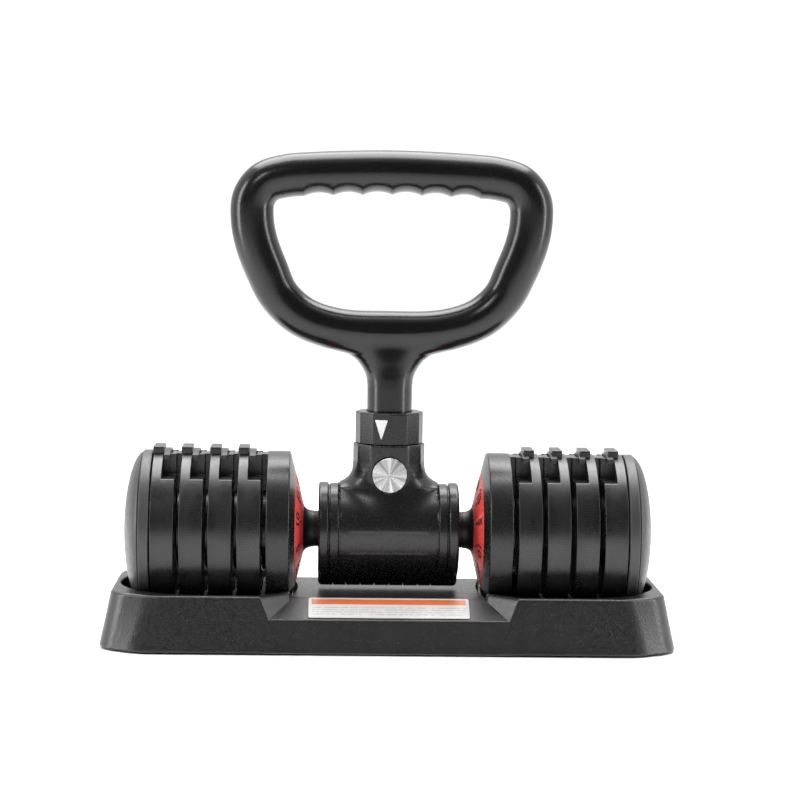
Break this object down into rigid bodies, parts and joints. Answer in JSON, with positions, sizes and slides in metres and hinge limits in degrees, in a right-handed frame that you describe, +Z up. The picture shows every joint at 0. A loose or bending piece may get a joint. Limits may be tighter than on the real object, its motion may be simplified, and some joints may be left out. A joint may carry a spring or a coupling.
{
  "type": "adjustable dumbbell",
  "caption": "Adjustable dumbbell lying in its storage tray, with a clamp-on D-shaped kettlebell handle locked round its grip.",
  "frame": {"origin": "on the floor under the middle of the tray", "axes": "+X along the dumbbell to its right end, -Y to the front with the push button and the label, +Z up"},
  "size_m": [0.422, 0.152, 0.3647],
  "materials": {
    "tray_plastic": "fine-grained moulded black",
    "cradle_plastic": "matt black",
    "foot_rubber": "matt",
    "label_paper": "satin printed film",
    "plate_iron": "smooth black coating, satin",
    "lug_plastic": "satin",
    "cover_plastic": "satin black",
    "dial_red": "satin red",
    "hub_plastic": "satin black",
    "steel": "turned",
    "liner_rubber": "matt",
    "shell_plastic": "satin black",
    "handle_plastic": "satin black",
    "arrow_white": "printed white",
    "button_aluminium": "spun face"
  },
  "bodies": {
    "tray": {"base_tray": "tray_plastic", "cradle_left": "cradle_plastic", "cradle_right": "cradle_plastic", "foot_1": "foot_rubber", "foot_2": "foot_rubber", "foot_3": "foot_rubber", "foot_4": "foot_rubber", "label": "label_paper"},
    "left_plate_4": {"plate_left_4": "plate_iron", "lug_left_4": "lug_plastic", "end_ring_left": "cover_plastic", "end_cover_left": "cover_plastic"},
    "left_plate_3": {"plate_left_3": "plate_iron", "lug_left_3": "lug_plastic"},
    "left_plate_2": {"plate_left_2": "plate_iron", "lug_left_2": "lug_plastic"},
    "left_plate_1": {"plate_left_1": "plate_iron", "lug_left_1": "lug_plastic"},
    "right_plate_4": {"plate_right_4": "plate_iron", "lug_right_4": "lug_plastic", "end_ring_right": "cover_plastic", "end_cover_right": "cover_plastic"},
    "right_plate_3": {"plate_right_3": "plate_iron", "lug_right_3": "lug_plastic"},
    "right_plate_2": {"plate_right_2": "plate_iron", "lug_right_2": "lug_plastic"},
    "right_plate_1": {"plate_right_1": "plate_iron", "lug_right_1": "lug_plastic"},
    "core": {"core_tube": "steel", "inner_cap_left": "cover_plastic", "inner_cap_right": "cover_plastic", "wave_washer_left": "steel", "wave_washer_right": "steel"},
    "grip": {"drive_sleeve": "hub_plastic", "grip_sleeve": "liner_rubber", "grip_hub_left": "hub_plastic", "grip_hub_right": "hub_plastic", "dial_ring_left": "dial_red", "dial_ring_right": "dial_red"},
    "left_rod": {"rod_left": "steel"},
    "right_rod": {"rod_right": "steel"},
    "kettlebell_handle": {"rear_shell": "shell_plastic", "liner_rear": "liner_rubber", "hinge_pin": "steel", "handle": "handle_plastic", "stem_screw": "steel"},
    "front_shell": {"front_shell": "shell_plastic", "liner_front": "liner_rubber", "button_spring": "steel"},
    "lock_collar": {"lock_collar": "shell_plastic", "collar_arrow": "arrow_white"},
    "release_button": {"release_button": "button_aluminium", "latch_plunger": "steel"}
  },
  "joints": [
    {"name": "left_plate_4_lift", "type": "slide", "parent": "tray", "child": "left_plate_4", "axis": [0, 0, 1], "range_m": [0, 0.13]},
    {"name": "left_plate_3_lift", "type": "slide", "parent": "left_plate_4", "child": "left_plate_3", "axis": [0, 0, 1], "range_m": [0, 0.13]},
    {"name": "left_plate_2_lift", "type": "slide", "parent": "left_plate_3", "child": "left_plate_2", "axis": [0, 0, 1], "range_m": [0, 0.13]},
    {"name": "left_plate_1_lift", "type": "slide", "parent": "left_plate_2", "child": "left_plate_1", "axis": [0, 0, 1], "range_m": [0, 0.13]},
    {"name": "right_plate_4_lift", "type": "slide", "parent": "tray", "child": "right_plate_4", "axis": [0, 0, 1], "range_m": [0, 0.13]},
    {"name": "right_plate_3_lift", "type": "slide", "parent": "right_plate_4", "child": "right_plate_3", "axis": [0, 0, 1], "range_m": [0, 0.13]},
    {"name": "right_plate_2_lift", "type": "slide", "parent": "right_plate_3", "child": "right_plate_2", "axis": [0, 0, 1], "range_m": [0, 0.13]},
    {"name": "right_plate_1_lift", "type": "slide", "parent": "right_plate_2", "child": "right_plate_1", "axis": [0, 0, 1], "range_m": [0, 0.13]},
    {"name": "dumbbell_lift", "type": "slide", "parent": "left_plate_1", "child": "core", "axis": [0, 0, 1], "range_m": [0, 0.13]},
    {"name": "grip_turn", "type": "hinge", "parent": "core", "child": "grip", "pos_m": [0, 0, 0.082], "axis": [1, 0, 0], "range_deg": [0, 144]},
    {"name": "right_rod_slide", "type": "slide", "parent": "core", "child": "right_rod", "axis": [1, 0, 0], "range_m": [0, 0.0842]},
    {"name": "left_rod_slide", "type": "slide", "parent": "core", "child": "left_rod", "axis": [-1, 0, 0], "range_m": [0, 0.0842]},
    {"name": "handle_tilt", "type": "hinge", "parent": "core", "child": "kettlebell_handle", "pos_m": [0, 0, 0.082], "axis": [1, 0, 0], "range_deg": [-75, 75]},
    {"name": "housing_open", "type": "hinge", "parent": "kettlebell_handle", "child": "front_shell", "pos_m": [0, 0, 0.0455], "axis": [1, 0, 0], "range_deg": [0, 40]},
    {"name": "collar_turn", "type": "hinge", "parent": "kettlebell_handle", "child": "lock_collar", "pos_m": [0, 0, 0.1476], "axis": [0, 0, 1], "range_deg": [0, 30]},
    {"name": "button_press", "type": "slide", "parent": "front_shell", "child": "release_button", "axis": [0, 1, 0], "range_m": [0, 0.003], "stiffness_N_per_m": 800, "springref_m": -0.004, "deforming": ["button_spring"]}
  ],
  "couplings": [
    {"joint": "right_plate_4_lift", "follows": "left_plate_4_lift", "ratio": 1},
    {"joint": "right_plate_3_lift", "follows": "left_plate_3_lift", "ratio": 1},
    {"joint": "right_plate_2_lift", "follows": "left_plate_2_lift", "ratio": 1},
    {"joint": "right_plate_1_lift", "follows": "left_plate_1_lift", "ratio": 1},
    {"joint": "right_rod_slide", "follows": "grip_turn", "m_per_rad": 0.033423},
    {"joint": "left_rod_slide", "follows": "grip_turn", "m_per_rad": 0.033423}
  ]
}
